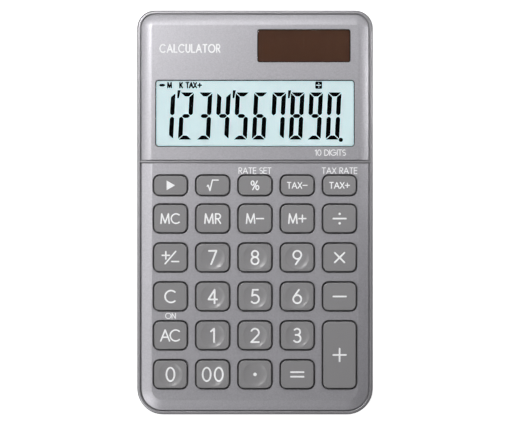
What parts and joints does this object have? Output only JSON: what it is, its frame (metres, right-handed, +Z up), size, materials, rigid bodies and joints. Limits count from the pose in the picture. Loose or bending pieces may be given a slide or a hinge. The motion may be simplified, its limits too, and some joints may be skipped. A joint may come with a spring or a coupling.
{
  "type": "pocket calculator",
  "caption": "Slim rounded pocket calculator lying face up, with a wide segment display over a keypad of sprung keys, a solar window, and a screwed rear cover on rubber feet.",
  "frame": {"origin": "on the surface that the feet stand on, under the middle of the case", "axes": "+X to the right of a person reading the display, +Y from the keys towards the display end, +Z up out of the face, the way the keys rise"},
  "size_m": [0.07, 0.12, 0.0084],
  "materials": {
    "fascia_lacquer": "satin silver-grey metallic lacquer on plastic",
    "case_plastic": "satin silver-grey lacquer",
    "rear_plastic": "fine spark-eroded texture",
    "key_plastic": "smooth satin with white printed legends",
    "clear_pane": "polished clear acrylic",
    "display_glass": "polished, with segments",
    "display_film": "pale cyan-grey film",
    "white_plastic": "moulded",
    "ribbon_film": "flexible film with carbon tracks",
    "solar_glass": "amorphous silicon on glass, in strips",
    "silicone": "translucent matt silicone",
    "board_laminate": "paper laminate with carbon pads",
    "black_resin": "cured resin drop",
    "ceramic": "ceramic with tinned ends",
    "bright_steel": "nickel-plated",
    "screw_steel": "zinc-plated cross-recess screws",
    "red_insulation": "soft insulation",
    "black_insulation": "soft insulation",
    "foot_rubber": "matt"
  },
  "bodies": {
    "housing": {"front_case": "case_plastic", "rear_cover": "rear_plastic", "display_panel": "fascia_lacquer", "keypad_panel": "fascia_lacquer", "key_membrane": "silicone", "circuit_board": "board_laminate", "chip_cover": "black_resin", "smoothing_capacitor": "ceramic", "display_window": "clear_pane", "solar_window": "clear_pane", "lcd_glass": "display_glass", "lcd_polarizer": "display_film", "lcd_reflector": "display_film", "lcd_frame": "white_plastic", "lcd_ribbon": "ribbon_film", "solar_cell": "solar_glass", "coin_cell": "bright_steel", "battery_contact_negative": "bright_steel", "battery_contact_positive": "bright_steel", "solar_lead_positive": "red_insulation", "battery_lead_positive": "red_insulation", "solar_lead_negative": "black_insulation", "battery_lead_negative": "black_insulation", "case_screw_top_left": "screw_steel", "case_screw_top_right": "screw_steel", "case_screw_bottom_left": "screw_steel", "case_screw_bottom_right": "screw_steel", "rubber_foot_top_left": "foot_rubber", "rubber_foot_top_right": "foot_rubber", "rubber_foot_bottom_left": "foot_rubber", "rubber_foot_bottom_right": "foot_rubber"},
    "key_backspace": {"key_backspace": "key_plastic"},
    "key_square_root": {"key_square_root": "key_plastic"},
    "key_percent": {"key_percent": "key_plastic"},
    "key_tax_minus": {"key_tax_minus": "key_plastic"},
    "key_tax_plus": {"key_tax_plus": "key_plastic"},
    "key_memory_clear": {"key_memory_clear": "key_plastic"},
    "key_memory_recall": {"key_memory_recall": "key_plastic"},
    "key_memory_minus": {"key_memory_minus": "key_plastic"},
    "key_memory_plus": {"key_memory_plus": "key_plastic"},
    "key_divide": {"key_divide": "key_plastic"},
    "key_sign_change": {"key_sign_change": "key_plastic"},
    "key_7": {"key_7": "key_plastic"},
    "key_8": {"key_8": "key_plastic"},
    "key_9": {"key_9": "key_plastic"},
    "key_multiply": {"key_multiply": "key_plastic"},
    "key_clear": {"key_clear": "key_plastic"},
    "key_4": {"key_4": "key_plastic"},
    "key_5": {"key_5": "key_plastic"},
    "key_6": {"key_6": "key_plastic"},
    "key_minus": {"key_minus": "key_plastic"},
    "key_all_clear": {"key_all_clear": "key_plastic"},
    "key_1": {"key_1": "key_plastic"},
    "key_2": {"key_2": "key_plastic"},
    "key_3": {"key_3": "key_plastic"},
    "key_plus": {"key_plus": "key_plastic"},
    "key_0": {"key_0": "key_plastic"},
    "key_00": {"key_00": "key_plastic"},
    "key_point": {"key_point": "key_plastic"},
    "key_equals": {"key_equals": "key_plastic"}
  },
  "joints": [
    {"name": "press_key_backspace", "type": "slide", "parent": "housing", "child": "key_backspace", "axis": [0, 0, -1], "range_m": [0, 0.0008], "stiffness_N_per_m": 600, "springref_m": -0.0002, "deforming": ["key_membrane"]},
    {"name": "press_key_square_root", "type": "slide", "parent": "housing", "child": "key_square_root", "axis": [0, 0, -1], "range_m": [0, 0.0008], "stiffness_N_per_m": 600, "springref_m": -0.0002, "deforming": ["key_membrane"]},
    {"name": "press_key_percent", "type": "slide", "parent": "housing", "child": "key_percent", "axis": [0, 0, -1], "range_m": [0, 0.0008], "stiffness_N_per_m": 600, "springref_m": -0.0002, "deforming": ["key_membrane"]},
    {"name": "press_key_tax_minus", "type": "slide", "parent": "housing", "child": "key_tax_minus", "axis": [0, 0, -1], "range_m": [0, 0.0008], "stiffness_N_per_m": 600, "springref_m": -0.0002, "deforming": ["key_membrane"]},
    {"name": "press_key_tax_plus", "type": "slide", "parent": "housing", "child": "key_tax_plus", "axis": [0, 0, -1], "range_m": [0, 0.0008], "stiffness_N_per_m": 600, "springref_m": -0.0002, "deforming": ["key_membrane"]},
    {"name": "press_key_memory_clear", "type": "slide", "parent": "housing", "child": "key_memory_clear", "axis": [0, 0, -1], "range_m": [0, 0.0008], "stiffness_N_per_m": 600, "springref_m": -0.0002, "deforming": ["key_membrane"]},
    {"name": "press_key_memory_recall", "type": "slide", "parent": "housing", "child": "key_memory_recall", "axis": [0, 0, -1], "range_m": [0, 0.0008], "stiffness_N_per_m": 600, "springref_m": -0.0002, "deforming": ["key_membrane"]},
    {"name": "press_key_memory_minus", "type": "slide", "parent": "housing", "child": "key_memory_minus", "axis": [0, 0, -1], "range_m": [0, 0.0008], "stiffness_N_per_m": 600, "springref_m": -0.0002, "deforming": ["key_membrane"]},
    {"name": "press_key_memory_plus", "type": "slide", "parent": "housing", "child": "key_memory_plus", "axis": [0, 0, -1], "range_m": [0, 0.0008], "stiffness_N_per_m": 600, "springref_m": -0.0002, "deforming": ["key_membrane"]},
    {"name": "press_key_divide", "type": "slide", "parent": "housing", "child": "key_divide", "axis": [0, 0, -1], "range_m": [0, 0.0008], "stiffness_N_per_m": 600, "springref_m": -0.0002, "deforming": ["key_membrane"]},
    {"name": "press_key_sign_change", "type": "slide", "parent": "housing", "child": "key_sign_change", "axis": [0, 0, -1], "range_m": [0, 0.0008], "stiffness_N_per_m": 600, "springref_m": -0.0002, "deforming": ["key_membrane"]},
    {"name": "press_key_7", "type": "slide", "parent": "housing", "child": "key_7", "axis": [0, 0, -1], "range_m": [0, 0.0008], "stiffness_N_per_m": 600, "springref_m": -0.0002, "deforming": ["key_membrane"]},
    {"name": "press_key_8", "type": "slide", "parent": "housing", "child": "key_8", "axis": [0, 0, -1], "range_m": [0, 0.0008], "stiffness_N_per_m": 600, "springref_m": -0.0002, "deforming": ["key_membrane"]},
    {"name": "press_key_9", "type": "slide", "parent": "housing", "child": "key_9", "axis": [0, 0, -1], "range_m": [0, 0.0008], "stiffness_N_per_m": 600, "springref_m": -0.0002, "deforming": ["key_membrane"]},
    {"name": "press_key_multiply", "type": "slide", "parent": "housing", "child": "key_multiply", "axis": [0, 0, -1], "range_m": [0, 0.0008], "stiffness_N_per_m": 600, "springref_m": -0.0002, "deforming": ["key_membrane"]},
    {"name": "press_key_clear", "type": "slide", "parent": "housing", "child": "key_clear", "axis": [0, 0, -1], "range_m": [0, 0.0008], "stiffness_N_per_m": 600, "springref_m": -0.0002, "deforming": ["key_membrane"]},
    {"name": "press_key_4", "type": "slide", "parent": "housing", "child": "key_4", "axis": [0, 0, -1], "range_m": [0, 0.0008], "stiffness_N_per_m": 600, "springref_m": -0.0002, "deforming": ["key_membrane"]},
    {"name": "press_key_5", "type": "slide", "parent": "housing", "child": "key_5", "axis": [0, 0, -1], "range_m": [0, 0.0008], "stiffness_N_per_m": 600, "springref_m": -0.0002, "deforming": ["key_membrane"]},
    {"name": "press_key_6", "type": "slide", "parent": "housing", "child": "key_6", "axis": [0, 0, -1], "range_m": [0, 0.0008], "stiffness_N_per_m": 600, "springref_m": -0.0002, "deforming": ["key_membrane"]},
    {"name": "press_key_minus", "type": "slide", "parent": "housing", "child": "key_minus", "axis": [0, 0, -1], "range_m": [0, 0.0008], "stiffness_N_per_m": 600, "springref_m": -0.0002, "deforming": ["key_membrane"]},
    {"name": "press_key_all_clear", "type": "slide", "parent": "housing", "child": "key_all_clear", "axis": [0, 0, -1], "range_m": [0, 0.0008], "stiffness_N_per_m": 600, "springref_m": -0.0002, "deforming": ["key_membrane"]},
    {"name": "press_key_1", "type": "slide", "parent": "housing", "child": "key_1", "axis": [0, 0, -1], "range_m": [0, 0.0008], "stiffness_N_per_m": 600, "springref_m": -0.0002, "deforming": ["key_membrane"]},
    {"name": "press_key_2", "type": "slide", "parent": "housing", "child": "key_2", "axis": [0, 0, -1], "range_m": [0, 0.0008], "stiffness_N_per_m": 600, "springref_m": -0.0002, "deforming": ["key_membrane"]},
    {"name": "press_key_3", "type": "slide", "parent": "housing", "child": "key_3", "axis": [0, 0, -1], "range_m": [0, 0.0008], "stiffness_N_per_m": 600, "springref_m": -0.0002, "deforming": ["key_membrane"]},
    {"name": "press_key_plus", "type": "slide", "parent": "housing", "child": "key_plus", "axis": [0, 0, -1], "range_m": [0, 0.0008], "stiffness_N_per_m": 600, "springref_m": -0.0002, "deforming": ["key_membrane"]},
    {"name": "press_key_0", "type": "slide", "parent": "housing", "child": "key_0", "axis": [0, 0, -1], "range_m": [0, 0.0008], "stiffness_N_per_m": 600, "springref_m": -0.0002, "deforming": ["key_membrane"]},
    {"name": "press_key_00", "type": "slide", "parent": "housing", "child": "key_00", "axis": [0, 0, -1], "range_m": [0, 0.0008], "stiffness_N_per_m": 600, "springref_m": -0.0002, "deforming": ["key_membrane"]},
    {"name": "press_key_point", "type": "slide", "parent": "housing", "child": "key_point", "axis": [0, 0, -1], "range_m": [0, 0.0008], "stiffness_N_per_m": 600, "springref_m": -0.0002, "deforming": ["key_membrane"]},
    {"name": "press_key_equals", "type": "slide", "parent": "housing", "child": "key_equals", "axis": [0, 0, -1], "range_m": [0, 0.0008], "stiffness_N_per_m": 600, "springref_m": -0.0002, "deforming": ["key_membrane"]}
  ]
}
